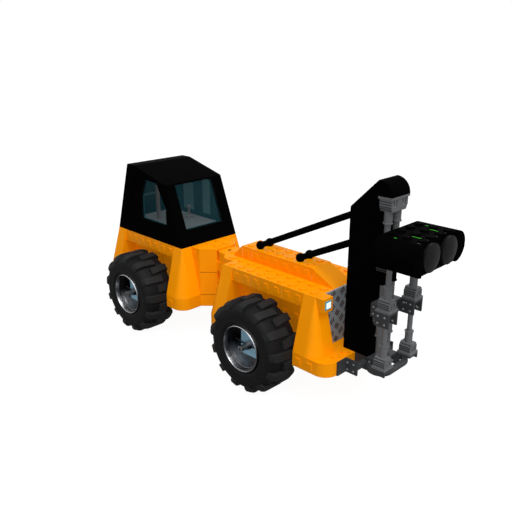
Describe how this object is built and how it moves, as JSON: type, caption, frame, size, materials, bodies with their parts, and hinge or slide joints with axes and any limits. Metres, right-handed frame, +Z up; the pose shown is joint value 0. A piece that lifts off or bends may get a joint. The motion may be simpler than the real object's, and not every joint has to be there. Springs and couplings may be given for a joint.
{
  "type": "articulated brick-toy mast carrier",
  "caption": "Brick-built toy work vehicle with an articulated waist, a raked cab, big lugged tyres and a front mast carrying a sliding tool head.",
  "frame": {"origin": "middle of the bounding box, on the floor under the tyres", "axes": "+X forward towards the mast and tool head, +Y to the vehicle's left, +Z up"},
  "size_m": [0.2488, 0.0904, 0.1274],
  "materials": {
    "orange": "gloss",
    "black": "gloss",
    "grey": "satin",
    "blue_grey": "satin",
    "floor_grey": "satin",
    "tyre": "matte",
    "chrome": "polished",
    "glass": "gloss",
    "clear_glass": "gloss",
    "tread_plate": "satin",
    "lamp": "gloss"
  },
  "bodies": {
    "rear_module": {"rear_core": "orange", "rear_nose": "orange", "rear_fender_left": "orange", "rear_fender_right": "orange", "rear_columns": "orange", "rear_slab": "orange", "cab_band": "black", "cab_floor": "floor_grey", "cab_shell": "black", "cab_lining": "glass", "cab_side_glass": "clear_glass", "cab_windscreen": "clear_glass", "cab_upright": "grey", "lever": "grey", "axle_rear": "blue_grey"},
    "head": {"head_mount": "black", "head_housing": "black", "head_domes": "black", "head_legs": "grey", "mid_collars": "grey", "mid_hangers": "grey"},
    "wheel_front_left": {"tyre_front_left": "tyre", "rim_front_left": "chrome"},
    "wheel_front_right": {"tyre_front_right": "tyre", "rim_front_right": "chrome"},
    "wheel_rear_left": {"tyre_rear_left": "tyre", "rim_rear_left": "chrome"},
    "wheel_rear_right": {"tyre_rear_right": "tyre", "rim_rear_right": "chrome"},
    "front_module": {"front_core": "orange", "front_fender_left": "orange", "front_fender_right": "orange", "front_columns": "orange", "front_slab": "orange", "spine": "orange", "hinge_pin": "black", "grille": "tread_plate", "lamp_housings": "orange", "lamp_lenses": "lamp", "mast": "black", "mast_cap": "black", "struts_upper": "black", "struts_lower": "black", "nose_bracket": "grey", "guide_posts": "grey", "tool_frame": "grey", "base_collars": "grey", "axle_front": "blue_grey"}
  },
  "joints": [
    {"name": "articulation", "type": "hinge", "parent": "rear_module", "child": "front_module", "pos_m": [-0.0244, 0, 0.0514], "axis": [0, 0, 1], "range_deg": [-30, 30]},
    {"name": "head_lift", "type": "slide", "parent": "front_module", "child": "head", "axis": [0, 0, 1], "range_m": [-0.002, 0.004]},
    {"name": "wheel_front_left_spin", "type": "hinge", "parent": "front_module", "child": "wheel_front_left", "pos_m": [0.0316, 0.03375, 0.0274], "axis": [0, 1, 0], "continuous": true},
    {"name": "wheel_front_right_spin", "type": "hinge", "parent": "front_module", "child": "wheel_front_right", "pos_m": [0.0316, -0.03375, 0.0274], "axis": [0, 1, 0], "continuous": true},
    {"name": "wheel_rear_left_spin", "type": "hinge", "parent": "rear_module", "child": "wheel_rear_left", "pos_m": [-0.0804, 0.03375, 0.0274], "axis": [0, 1, 0], "continuous": true},
    {"name": "wheel_rear_right_spin", "type": "hinge", "parent": "rear_module", "child": "wheel_rear_right", "pos_m": [-0.0804, -0.03375, 0.0274], "axis": [0, 1, 0], "continuous": true}
  ]
}
